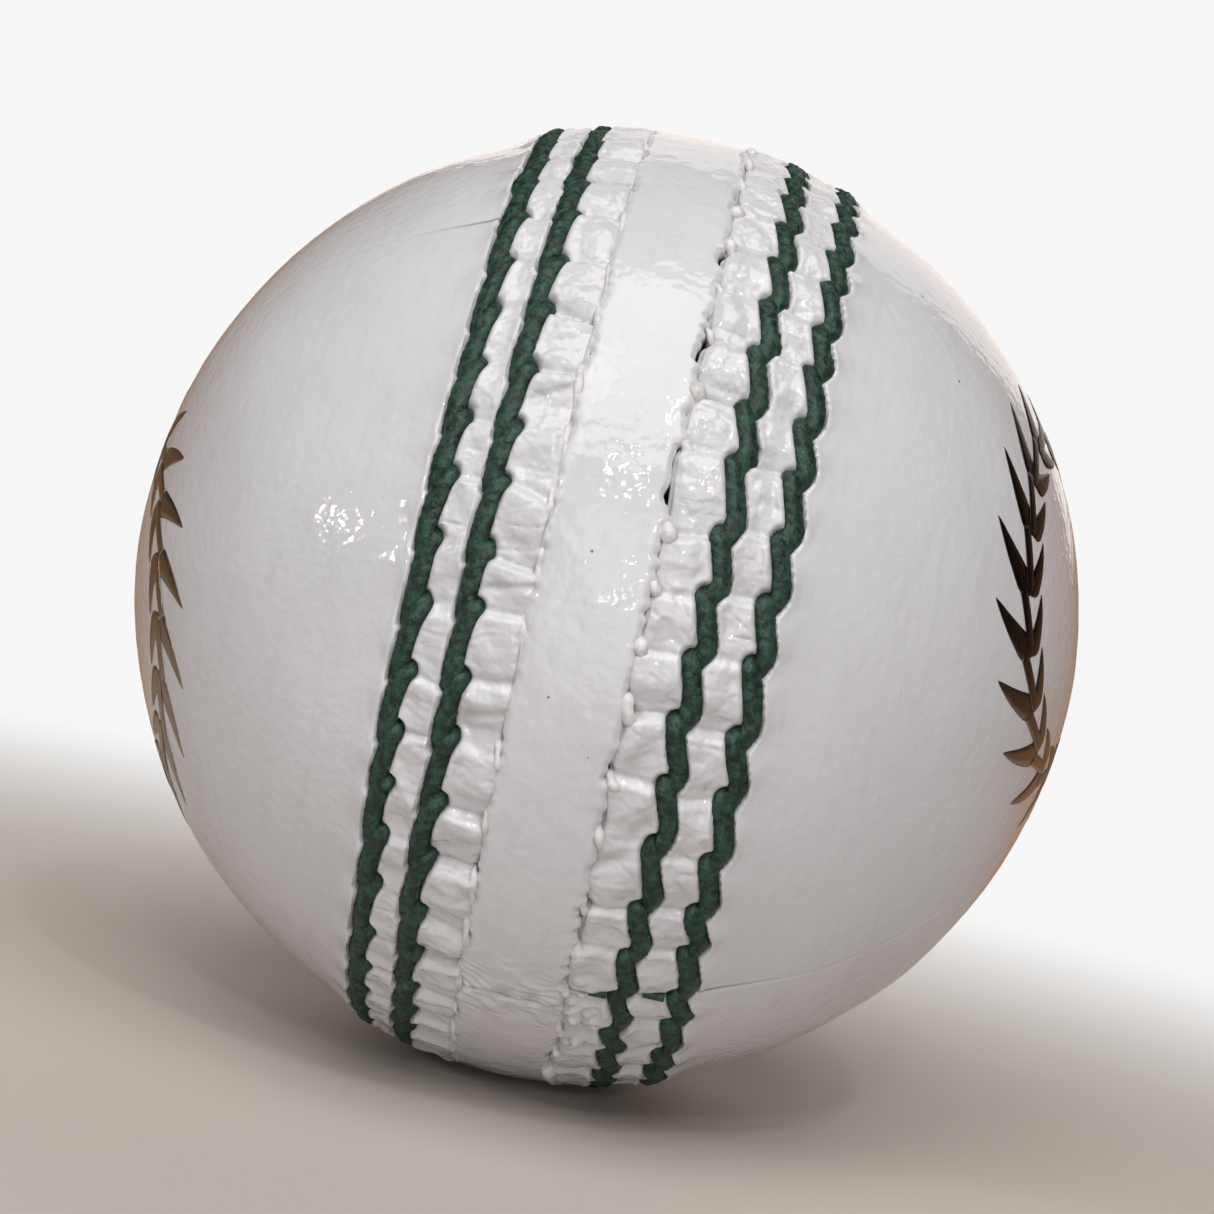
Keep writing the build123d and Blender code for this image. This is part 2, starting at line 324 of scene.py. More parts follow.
def shapeCover(points, side):
    # Moves the outside of a cup from a plain sphere to the sewn, padded leather, and returns what to paint.
    distance = np.abs(points[:, 0])
    radius = np.linalg.norm(points, axis=1)
    angle = np.arctan2(points[:, 2], -points[:, 1])
    outside = radius > ball["cheekRadius"] - 0.02
    rim = coverShape["rimDistance"][side]
    innerRow, outerRow = rowDistance(side, "inner"), rowDistance(side, "outer")
    innerPhase = stitchPhase(angle, side, "inner")
    outerPhase = stitchPhase(angle, side, "outer")

    # Creases run from each thread hole to the rim, at their own slants.
    slant = 0.05 + 0.17 * around(angle, 9, 26, 300 + side)
    toRim = np.clip((innerRow - distance) / (innerRow - rim), 0, 1)
    bow = 0.06 * np.sin(toRim * pi) * around(angle, 12, 30, 310 + side)
    innerPlace = innerPhase - 0.02 - slant * toRim - bow
    innerPart = innerPlace - np.floor(innerPlace)
    toOuter = np.clip((distance - innerRow) / (outerRow - innerRow), 0, 1)
    outerSlant = 0.14 * around(angle, 9, 26, 320 + side)
    # Between the rows the crease follows the outer row's holes.
    outerPlace = outerPhase - 0.02 - outerSlant * (1 - toOuter)
    outerPart = outerPlace - np.floor(outerPlace)

    def pillow(part, lip):
        rise = 0.2 + 0.8 * smooth(0, lip, part)
        fall = 1 - 0.68 * smooth(0.25, 1.0, part) ** 1.1
        tuck = 1 - smooth(0.90, 1.0, part)
        return rise * fall * (0.45 + 0.55 * tuck)

    # Some creases are deep and others hardly show.
    innerShare = np.clip(1 + 0.8 * around(angle, 14, 56, 330 + side), 0.15, 1.9)
    outerShare = np.clip(1 + 0.8 * around(angle, 14, 56, 340 + side), 0.15, 1.9)
    innerDepth = coverShape["creaseDepth"][side] * innerShare
    outerDepth = coverShape["outerCreaseDepth"] * outerShare
    innerPillow = pillow(innerPart, 0.16)
    outerPillow = pillow(outerPart, 0.14)

    # Crown of each pad between its edges.
    rimNow = rim + coverShape["rimSway"][side] * around(angle, 12, 44, 350 + side)
    scallop = coverShape["rimScallop"][side] * (1 - smooth(0.0, 0.22, np.minimum(innerPart, 1 - innerPart)))
    innerZone = 1 - smooth(innerRow - 0.1, innerRow + 0.1, distance)
    outerZone = smooth(innerRow - 0.1, innerRow + 0.1, distance) * (
        1 - smooth(outerRow - 0.2, outerRow + 0.5, distance)
    )
    cheekZone = smooth(outerRow - 0.2, outerRow + 0.5, distance)
    edgeDrop = coverShape["edgeDrop"][side] * (1 - np.clip((distance - rim) / 1.0, 0, 1)) ** 2.2
    innerHeight = coverShape["padRadius"] + 0.16 - edgeDrop - innerDepth * (1 - innerPillow)
    outerHeight = coverShape["padRadius"] + 0.04 - outerDepth * (1 - outerPillow)
    shoulder = coverShape["shoulder"] * np.exp(-(((distance - 11.4) / 1.5) ** 2))
    puckerZone = np.exp(-(((distance - 11.9) / 0.9) ** 2))
    pucker = coverShape["pucker"] * np.cos(tau * (outerPhase - 0.08)) * puckerZone
    cheekHeight = ball["cheekRadius"] - 0.03 + shoulder - pucker
    height = innerHeight * innerZone + outerHeight * outerZone + cheekHeight * cheekZone

    # The threads press into the leather.
    clear = np.minimum(
        threadClearance(distance, angle, side, "inner"), threadClearance(distance, angle, side, "outer")
    )
    seamZone = 1 - smooth(12.6, 13.6, distance)
    height -= coverShape["threadGroove"] * (1 - smooth(0.30, 0.80, clear)) * seamZone
    height += coverShape["threadLip"] * np.exp(-(((clear - 0.88) / 0.22) ** 2)) * seamZone

    # Unevenness: broad over the cheeks, small wrinkles on the pads.
    direction = points / radius[:, None]
    sphere = direction * ball["cheekRadius"]
    padZone = (1 - smooth(10.8, 12.2, distance)) * smooth(0.4, 1.0, clear)
    height += coverShape["cheekUneven"] * wobble(sphere, 11, 400 + side)
    height += coverShape["padLumps"] * wobble(sphere, 2.6, 410 + side) * padZone
    height += coverShape["padRoughness"] * wobble(sphere, 1.2, 420 + side) * padZone
    # A few more short wrinkles between the creases.
    wrinkle = np.abs(wobble(sphere * np.array([0.35, 1, 1]), 2.1, 430 + side))
    wrinkleDepth = coverShape["padWrinkles"] * (1 - smooth(0.0, 0.16, wrinkle))
    height -= wrinkleDepth * padZone * (0.5 + 0.5 * around(angle, 12, 40, 431 + side))

    # Some pads carry a slanting fold of their own.
    foldAt = 0.46 + 0.24 * around(angle, 8, 30, 360 + side) - 0.42 * (toRim - 0.5)
    foldKeep = smooth(-0.1, 0.7, around(angle, 12, 40, 370 + side)) * smooth(0.05, 0.35, toRim)
    foldStep = smooth(-0.10, 0.02, innerPart - foldAt) - smooth(0.02, 0.30, innerPart - foldAt)
    height -= coverShape["padFolds"] * foldStep * foldKeep * innerZone * padZone

    # Below the band's joint the right cup's edge is torn and lumpy.
    fromTear = ((angle - ball["bandJointAngle"] + 0.06 + pi) % tau - pi) * radius
    torn = np.exp(-((fromTear / coverShape["tornReach"]) ** 2)) * (1 - smooth(4.6, 6.6, distance))
    torn = torn * (side == right)
    tornLumps = coverShape["tornLumps"] * np.abs(wobble(sphere, 1.6, 440))
    height += torn * (tornLumps - 0.30 + 0.16 * wobble(sphere, 0.9, 441))

    # The joint between the two quarters is a fine groove that fades towards the pole.
    fromJoint = np.abs(np.sin(angle - ball["jointAngles"][side])) * radius
    fade = 0.25 + 0.75 * (1 - smooth(12.0, 19.0, distance))
    joint = np.exp(-((fromJoint / 0.17) ** 2)) * fade
    height -= coverShape["jointGroove"][side] * joint * smooth(34.9, 33.5, distance)

    # The rim strays sideways and draws back at each crease.
    pull = (rimNow - rim + scallop) * (1 - smooth(rim + 0.2, rim + 2.2, distance))
    newDistance = distance + np.where(distance < 8, pull, 0)
    moved = seamPoint(side * newDistance, angle, np.where(outside, height, radius))
    atPole = distance > ball["cheekRadius"] - 1e-4
    moved[atPole & outside] = points[atPole & outside]

    creaseInner = (1 - innerPillow) * innerZone * (distance < innerRow)
    creaseOuter = (1 - outerPillow) * outerZone
    paint = {
        "crease": np.clip(creaseInner + creaseOuter, 0, 1) * outside,
        "pad": np.clip((innerZone + outerZone) * (distance > rim + 0.2), 0, 1) * outside,
        "gap": np.where(outside, (1 - smooth(rim, rim + 0.3, distance)) * scallop / 0.34, 1.0),
        "thread": (1 - smooth(0.55, 0.95, clear)) * seamZone * outside,
        "joint": joint * outside,
    }
    return moved, paint


def coverQuarter(side, place):
    outside, inside = coverProfile(side)
    distance, radius = np.array(outside + inside).T
    middle = ball["jointAngles"][side] + (pi / 2 if ball["jointAngles"][side] < 0 else -pi / 2)
    if place == "back":
        middle += pi
    steps = coverShape["columnsPerStitch"] * ball["stitchCount"] // 2
    skinName = f"cover_{sideNames[side]}_{place}_skin"
    piece = lathe(skinName, side * distance, radius, middle - pi / 2, pi, steps)
    moved, paint = shapeCover(readPoints(piece), side)
    writePoints(piece, moved)
    for name, values in paint.items():
        writeValues(piece, name, values)
    choose(piece)
    bpy.ops.object.shade_smooth_by_angle(angle=radians(60))
    return piece


bandShape = {
    "columnsPerStitch": 28,
    "edges": {left: 3.80, right: 3.42},    # distance of each edge from the seam plane
    "radius": 36.2,
    "edgeDrop": 0.34,
    "edgeSway": 0.13,
    "floorRadius": 34.0,
    "jointGap": 0.10,
    "wrinkleReach": 3.2,      # how far wrinkles reach from the joint of its two ends
    "wrinkleHeight": 0.20,
    "jointDepth": 0.30,
    "ragged": 0.10,
    "shortBy": 0.34,          # how far the right edge stops short where it leaves a gap
}


def seamBand():
    crest = bandShape["radius"]
    lowEdge, highEdge = -bandShape["edges"][left], bandShape["edges"][right]
    middle, width = (lowEdge + highEdge) / 2, (highEdge - lowEdge) / 2
    across = width * np.sin(np.linspace(-pi / 2, pi / 2, 37))
    fall = bandShape["edgeDrop"] * np.clip((np.abs(across) - width + 0.55) / 0.55, 0, 1) ** 2
    floor = bandShape["floorRadius"]
    top = list(zip(across, crest - fall))
    walls = [35.2, 34.8, 34.4]
    outline = top + [(width, wall) for wall in walls]
    outline += [(width - 0.2, floor), (0, floor), (0.2 - width, floor)]
    outline += [(-width, wall) for wall in walls[::-1]]
    distance, radius = np.array(outline).T
    distance = distance + middle
    halfGap = bandShape["jointGap"] / crest / 2
    start = ball["bandJointAngle"] + halfGap
    steps = bandShape["columnsPerStitch"] * ball["stitchCount"]
    piece = lathe("seam_band_skin", distance, radius, start, tau - 2 * halfGap, steps)
    points = readPoints(piece)
    distance = points[:, 0]
    offAxis = np.hypot(points[:, 1], points[:, 2])
    angle = np.arctan2(points[:, 2], -points[:, 1])
    onTop = smooth(34.9, 35.3, offAxis)
    fromMiddle = np.abs(distance - middle)
    edge = smooth(width - 1.1, width, fromMiddle) * np.sign(distance - middle)
    # The edges wander and are a little ragged.
    wander = bandShape["edgeSway"] * around(angle, 14, 60, 500)
    wanderRight = bandShape["edgeSway"] * around(angle, 20, 90, 501)
    stray = np.where(distance > 0, wanderRight, wander)
    ragged = bandShape["ragged"] * around(angle, 80, 260, 504)
    # Here and there the right edge stops short and leaves a gap.
    short = smooth(0.35, 0.80, around(angle, 12, 45, 502) + 0.35 * around(angle, 60, 160, 503))
    newDistance = distance + edge * (stray + ragged - bandShape["shortBy"] * short * (distance > 0))
    fromJoint = np.abs((angle - ball["bandJointAngle"] + pi) % tau - pi) * crest
    nearJoint = np.exp(-((fromJoint / bandShape["wrinkleReach"]) ** 2))
    height = 0.05 * wobble(points, 9, 510) + 0.018 * wobble(points, 2.6, 511)
    # Near the joint the leather wrinkles across the band.
    ridges = np.sin((angle * crest + 0.45 * distance + 0.5 * wobble(points, 3, 512)) * 5.2)
    wrinkles = bandShape["wrinkleHeight"] * np.abs(ridges)
    height += nearJoint * (wrinkles + 0.10 * wobble(points, 1.3, 513) - 0.08)
    height -= bandShape["jointDepth"] * np.exp(-((fromJoint / 0.16) ** 2))
    # Faint lines run beside both edges.
    lineAt = width - 0.62 - 0.25 * around(angle, 5, 15, 514)
    height -= 0.035 * np.exp(-(((fromMiddle - lineAt) / 0.09) ** 2)) * (around(angle, 8, 26, 515) > 0.1)
    offAxis = offAxis + height * onTop
    moved = np.stack([newDistance, -offAxis * np.cos(angle), offAxis * np.sin(angle)], axis=-1)
    writePoints(piece, moved)
    writeValues(piece, "crease", np.exp(-((fromJoint / 0.22) ** 2)) * onTop)
    writeValues(piece, "pad", 0.35 * nearJoint)
    writeValues(piece, "gap", 1 - onTop)
    writeValues(piece, "thread", np.zeros(len(points)))
    writeValues(piece, "joint", np.zeros(len(points)))
    choose(piece)
    bpy.ops.object.shade_smooth_by_angle(angle=radians(60))
    return piece


def roundPiece(name, sides, steps, copies):
    # A plain rod of unit radius along Z, one millimetre to a step, and copies of it further along Z.
    deselectAll()
    bpy.ops.mesh.primitive_circle_add(vertices=sides, radius=mm, fill_type="NGON")
    piece = bpy.context.active_object
    piece.name = name
    bpy.ops.object.mode_set(mode="EDIT")
    bpy.ops.mesh.select_all(action="SELECT")
    bpy.ops.mesh.extrude_repeat(steps=steps, offset=(0, 0, mm))
    bpy.ops.mesh.select_all(action="SELECT")
    bpy.ops.mesh.normals_make_consistent(inside=False)
    bpy.ops.object.mode_set(mode="OBJECT")
    spread = piece.modifiers.new("copies", "ARRAY")
    spread.count = copies
    spread.use_relative_offset = False
    spread.use_constant_offset = True
    spread.constant_offset_displace = (0, 0, (steps + 1) * mm)
    choose(piece)
    bpy.ops.object.modifier_apply(modifier=spread.name)
    return piece


def rodPlaces(piece, steps):
    # For each vertex of the rods: which copy, the step along it and the angle round it.
    points = readPoints(piece)
    level = np.rint(points[:, 2]).astype(int)
    copy = level // (steps + 1)
    step = level - copy * (steps + 1)
    turn = np.arctan2(points[:, 1], points[:, 0])
    onAxis = np.hypot(points[:, 0], points[:, 1]) < 0.5
    return copy, step, turn, onAxis


def writeRodUv(piece, steps, length):
    # U runs round the rod, V along it in millimetres.
    copy, step, turn, _ = rodPlaces(piece, steps)
    mesh = piece.data
    layer = mesh.uv_layers.get("UVMap") or mesh.uv_layers.new(name="UVMap")
    corner = np.empty(len(mesh.loops), int)
    mesh.loops.foreach_get("vertex_index", corner)
    starts = np.empty(len(mesh.polygons), int)
    mesh.polygons.foreach_get("loop_start", starts)
    face = np.searchsorted(starts, np.arange(len(corner)), side="right") - 1
    turnFirst = turn[corner[starts[face]]]
    turnHere = turnFirst + (turn[corner] - turnFirst + pi) % tau - pi
    along = step[corner] / steps * length + 7.3 * copy[corner]
    layer.data.foreach_set("uv", np.stack([turnHere / tau, along], axis=-1).ravel())


def pathFrames(path, steps):
    # Points and sideways directions at even steps along a curve; the third axis is up.
    lengths = np.concatenate([[0], np.cumsum(np.linalg.norm(np.diff(path, axis=0), axis=1))])
    even = np.linspace(0, lengths[-1], steps + 1)
    points = np.stack([np.interp(even, lengths, path[:, i]) for i in range(3)], axis=-1)
    tangents = np.gradient(points, axis=0)
    tangents /= np.linalg.norm(tangents, axis=1)[:, None]
    across = np.cross(tangents, [0, 0, 1.0])
    across[:, 2] = 0
    # On a steep stretch the last level direction carries on.
    for i in range(len(across)):
        if np.linalg.norm(across[i]) < 0.35 and i > 0:
            across[i] = across[i - 1]
    for i in range(len(across) - 2, -1, -1):
        if np.linalg.norm(across[i]) < 0.35:
            across[i] = across[i + 1]
    across /= np.linalg.norm(across, axis=1)[:, None]
    above = np.cross(across, tangents)
    return points, across, above, lengths[-1]


def finishThreads(piece, side):
    # The right side mirrors the rods, which leaves their faces pointing inwards until they are flipped.
    choose(piece)
    if side == right:
        bpy.ops.object.mode_set(mode="EDIT")
        bpy.ops.mesh.select_all(action="SELECT")
        bpy.ops.mesh.flip_normals()
        bpy.ops.object.mode_set(mode="OBJECT")
    bpy.ops.object.shade_smooth()


threadLook = {
    "sides": 15,
    "steps": 30,
    "plies": 3,
    "plyDepth": 0.055,
    "turnsPerLength": 0.16,     # twist, in turns to a millimetre
    "flatten": 0.90,
    "lumps": (0.07, 0.06, 0.04),
}


def greenRow(side, place):
    steps, sides = threadLook["steps"], threadLook["sides"]
    piece = roundPiece(f"{rowName(side, place)}_thread", sides, steps, ball["stitchCount"])
    copy, step, turn, onAxis = rodPlaces(piece, steps)
    path = smoothPath(seamShape["stitchPath"][side], 8)
    points, across, above, length = pathFrames(path, steps)
    writeRodUv(piece, steps, length)
    dice = np.random.default_rng(rowSeed(side, place))
    count = ball["stitchCount"]
    thickness = seamShape["threadRadius"] * dice.uniform(0.93, 1.05, count)[copy]
    lift = dice.uniform(-0.05, 0.05, count)[copy]
    shift = dice.uniform(-0.06, 0.06, count)[copy]
    firstTurn = dice.uniform(0, tau, count)[copy]
    twist = turn + firstTurn + tau * threadLook["turnsPerLength"] * length * step / steps
    ply = threadLook["plyDepth"]
    plies = 1 + ply * np.abs(np.cos(threadLook["plies"] / 2 * turn)) * 2 - ply
    big, middling, little = threadLook["lumps"]
    lumps = big * np.sin(step * 0.8 + 2 * turn + copy * 1.7)
    lumps = lumps + middling * np.sin(step * 1.45 - 3 * turn + copy * 2.9)
    lumps = lumps + little * np.sin(step * 2.3 + 5 * turn + copy * 4.3)
    swell = 1 + lumps + 0.05 * np.sin(step / steps * 9 + firstTurn * 3)
    swell = swell + 0.03 * np.sin(step * 1.7 + firstTurn * 5)
    reach = np.where(onAxis, 0, thickness * plies * swell)
    local = points[step]
    local = local + across[step] * (reach * np.cos(twist))[:, None]
    local = local + above[step] * (reach * np.sin(twist) * threadLook["flatten"])[:, None]
    along, sideways, up = local.T
    pitchLength = pitchAngle * sqrt(seamShape["threadCentre"] ** 2 - rowDistance(side, place) ** 2)
    phase = copy + along / pitchLength
    target = -(phase - 0.5) * pitchAngle
    angle = target.copy()
    # The stray depends on the angle, so a few rounds settle it.
    for _ in range(6):
        angle = target - rowStray(angle, side, place)
    distance = rowDistance(side, place) + sideways + shift + rowSway(angle, side, place)
    writePoints(piece, seamPoint(side * distance, angle, seamShape["threadCentre"] + lift + up))
    finishThreads(piece, side)
    return piece


edgeThread = {
    "sides": 10,
    "steps": 12,
    # A stitch on each side: along the seam, away from the cup's edge, and up from the leather.
    left: [
        (-0.50, 0.25, -0.90),
        (-0.20, 0.22, -0.35),
        (0.50, 0.16, -0.08),
        (1.30, 0.06, -0.12),
        (2.20, -0.02, -0.50),
    ],
    right: [
        (-0.35, 0.05, -1.10),
        (-0.25, 0.12, -0.45),
        (0.10, 0.30, -0.02),
        (0.55, 0.50, -0.06),
        (0.90, 0.62, -0.50),
    ],
    "radius": {left: 0.24, right: 0.40},
    "fromRim": {left: 0.12, right: -0.02},      # from the cup's edge to the stitches' holes
}


def edgeRow(side):
    steps, sides = edgeThread["steps"], edgeThread["sides"]
    piece = roundPiece(f"edge_stitches_{sideNames[side]}_thread", sides, steps, ball["stitchCount"])
    copy, step, turn, onAxis = rodPlaces(piece, steps)
    points, across, above, length = pathFrames(smoothPath(edgeThread[side], 6), steps)
    writeRodUv(piece, steps, length)
    dice = np.random.default_rng(70 + side)
    count = ball["stitchCount"]
    size = dice.uniform(0.6, 1.25, count)[copy]
    stretch = dice.uniform(0.75, 1.35, count)[copy]
    late = dice.uniform(-0.10, 0.12, count)[copy]
    lift = dice.uniform(-0.22, 0.08, count)[copy]
    aside = dice.uniform(-0.12, 0.12, count)[copy]
    lumps = 1 + 0.22 * np.sin(step * 0.9 + copy * 2.1) + 0.12 * np.sin(2 * turn + copy * 1.3)
    taper = np.sqrt(np.clip(np.minimum(step + 1, steps + 1 - step) / 3.5, 0, 1))
    reach = np.where(onAxis, 0, edgeThread["radius"][side] * size * lumps * taper)
    local = points[step]
    local = local + across[step] * (reach * np.cos(turn))[:, None]
    local = local + above[step] * (reach * np.sin(turn))[:, None]
    along, sideways, up = local.T
    angleHole = -(copy + 0.02 + late - 0.5) * pitchAngle
    angle = angleHole - along * stretch / ball["bandRadius"]
    angle = angle - rowStray(angle, side, "inner")
    distance = coverShape["rimDistance"][side] + edgeThread["fromRim"][side] + sideways + aside
    writePoints(piece, seamPoint(side * distance, angle, bandShape["radius"] - 0.1 + up + lift))
    finishThreads(piece, side)
    return piece


foil = {
    # Middle of each mark as a direction from the ball's centre: the stamp sits a little off the pole.
    "middle": {left: (-0.962, -0.174, -0.208), right: (0.945, -0.254, 0.204)},
    "ringRadius": 12.4,
    "strokes": 18,
    # How far a stroke runs out from the ring and along it, its width, and its height over the leather.
    "outer": (3.6, 5.4, 2.3, 0.020),
    "inner": (-2.5, 3.8, 2.0, 0.035),
    "stem": (0.0, 4.9, 0.9, 0.050),
    "darkReflectionHeights": (-8, 6),       # the right mark is painted darker upwards between these heights, a painted dark reflection
}


def foilMark(side):
    # A plain herringbone ring: tapered strokes that fan out and in from a ring-shaped stem.
    deselectAll()
    bpy.ops.mesh.primitive_grid_add(x_subdivisions=3, y_subdivisions=16, size=2 * mm)
    piece = bpy.context.active_object
    piece.name = f"foil_mark_{sideNames[side]}"
    spread = piece.modifiers.new("copies", "ARRAY")
    spread.count = 3 * foil["strokes"]
    spread.use_relative_offset = False
    spread.use_constant_offset = True
    spread.constant_offset_displace = (0, 4 * mm, 0)
    bpy.ops.object.modifier_apply(modifier=spread.name)
    across, row = readPoints(piece)[:, :2].T
    copy = np.rint(row / 4)
    along = (row - 4 * copy + 1) / 2
    kind = (copy // foil["strokes"]).astype(int)
    # Each stroke is drawn flat, from its blunt end to its point, then turned to its place in the ring.
    reach, run, width, above = np.array([foil["outer"], foil["inner"], foil["stem"]]).T[:, kind]
    blunt = np.clip(along / 0.16, 0, 1) ** 0.5
    width = width / 2 * blunt * np.where(kind == 2, 1, np.clip(1 - along, 0, 1) ** 0.8) + 0.02
    length = np.hypot(reach, run)
    ease = along + 0.10 * np.sin(pi * along)
    outward = foil["ringRadius"] + reach * ease - across * width * run / length
    sideways = run * along + across * width * reach / length
    turn = tau * copy / foil["strokes"]
    flatX = outward * np.cos(turn) - sideways * np.sin(turn)
    flatY = outward * np.sin(turn) + sideways * np.cos(turn)
    # The flat drawing is wrapped over the cheek about the mark's middle.
    middle = Vector(foil["middle"][side]).normalized()
    level = middle.cross((0, 0, 1)).normalized()
    upward = level.cross(middle)
    spreadAngle = np.hypot(flatX, flatY) / ball["cheekRadius"]
    bearing = np.arctan2(flatY, flatX)
    direction = (
        np.cos(spreadAngle)[:, None] * np.array(middle)
        + (np.sin(spreadAngle) * np.cos(bearing))[:, None] * np.array(level)
        + (np.sin(spreadAngle) * np.sin(bearing))[:, None] * np.array(upward)
    )
    uneven = coverShape["cheekUneven"] * wobble(direction * ball["cheekRadius"], 11, 400 + side)
    radius = ball["cheekRadius"] - 0.03 + uneven + above
    writePoints(piece, direction * radius[:, None])
    # The right mark is painted darker towards its top: a painted dark reflection.
    writeValues(piece, "paintedDarkReflection", (side == right) * smooth(*foil["darkReflectionHeights"], direction[:, 2] * radius))
    # Every stroke is made to face away from the ball's centre.
    for polygon in piece.data.polygons:
        polygon.select = polygon.normal.dot(polygon.center) < 0
    bpy.ops.object.mode_set(mode="EDIT")
    bpy.ops.mesh.select_mode(type="FACE")
    bpy.ops.mesh.flip_normals()
    bpy.ops.object.mode_set(mode="OBJECT")
    leaf = piece.modifiers.new("thickness", "SOLIDIFY")
    leaf.thickness = 0.02 * mm
    leaf.offset = 1
    bpy.ops.object.modifier_apply(modifier=leaf.name)
    bpy.ops.object.shade_smooth()
    return piece


class Wire:
    # One output socket; adding and multiplying make Math nodes.
    def __init__(self, paint, socket):
        self.paint, self.socket = paint, socket

    def maths(self, operation, *values):
        return self.paint.node("ShaderNodeMath", {"operation": operation}, dict(enumerate(values)))

    def __add__(self, other):
        return self.maths("ADD", self, other)

    def __mul__(self, other):
        return self.maths("MULTIPLY", self, other)

    __radd__ = __add__
    __rmul__ = __mul__


class Paint:
    # A material and its nodes.
    def __init__(self, name, **fixed):
        self.material = bpy.data.materials.new(name)
        self.material.use_nodes = True
        self.tree = self.material.node_tree
        self.shader = next(n for n in self.tree.nodes if n.type == "BSDF_PRINCIPLED")
        for socket, value in fixed.items():
            self.shader.inputs[socket].default_value = value

    def node(self, kind, settings=None, values=None, output=0):
        node = self.tree.nodes.new(kind)
        for key, value in (settings or {}).items():
            setattr(node, key, value)
        for key, value in (values or {}).items():
            self.plug(value, node.inputs[key])
        return Wire(self, node.outputs[output])

    def plug(self, value, socket):
        if isinstance(value, Wire):
            self.tree.links.new(value.socket, socket)
        else:
            socket.default_value = value

    def place(self, scale=(1, 1, 1), turn=(0, 0, 0)):
        # Object coordinates in millimetres.
        coordinates = self.node("ShaderNodeTexCoord", output="Object")
        values = {"Vector": coordinates, "Rotation": turn, "Scale": tuple(s / mm for s in scale)}
        return self.node("ShaderNodeMapping", {}, values)

    def ripple(self, vector, scale, detail=3, roughness=0.55):
        values = {"Vector": vector, "Scale": scale, "Detail": detail, "Roughness": roughness}
        return self.node("ShaderNodeTexNoise", {}, values)

    def cells(self, vector, scale, output="Distance", feature="F1"):
        values = {"Vector": vector, "Scale": scale}
        return self.node("ShaderNodeTexVoronoi", {"feature": feature}, values, output)

    def steep(self, value, low, high, start=0.0, end=1.0):
        values = {"Value": value, "From Min": low, "From Max": high, "To Min": start, "To Max": end}
        return self.node("ShaderNodeMapRange", {"interpolation_type": "SMOOTHSTEP"}, values)

    def attribute(self, name):
        return self.node("ShaderNodeAttribute", {"attribute_name": name}, output="Fac")

    def blend(self, amount, first, second):
        first, second = [(*c, 1) if isinstance(c, tuple) and len(c) == 3 else c for c in (first, second)]
        node = self.tree.nodes.new("ShaderNodeMix")
        node.data_type = "RGBA"
        self.plug(amount, node.inputs["Factor"])
        self.plug(first, [s for s in node.inputs if s.name == "A" and s.type == "RGBA"][0])
        self.plug(second, [s for s in node.inputs if s.name == "B" and s.type == "RGBA"][0])
        return Wire(self, [s for s in node.outputs if s.type == "RGBA"][0])

    def bumps(self, *layers):
        # Layers of (height, distance in millimetres, strength).
        normal = None
        for height, distance, strength in layers:
            values = {"Height": height, "Distance": distance * mm, "Strength": strength}
            if normal:
                values["Normal"] = normal
            normal = self.node("ShaderNodeBump", {}, values)
        self.plug(normal, self.shader.inputs["Normal"])

    def use(self, **links):
        for name, value in links.items():
            self.plug(value, self.shader.inputs[name.replace("_", " ")])
        return self.material


leatherLook = {
    "white": ((0.585, 0.575, 0.59), (0.665, 0.655, 0.675)),
    "streak": (0.50, 0.485, 0.50),
    "padTint": (0.62, 0.58, 0.53),
    "creaseShade": (0.28, 0.26, 0.25),
    "jointShade": (0.16, 0.14, 0.13),
    "speck": (0.09, 0.07, 0.06),
    "threadStainAndShade": (0.07, 0.10, 0.08),
    "gapRawLeatherAndShade": ((0.20, 0.165, 0.15), (0.055, 0.028, 0.02)),
    "roughness": 0.06,
}


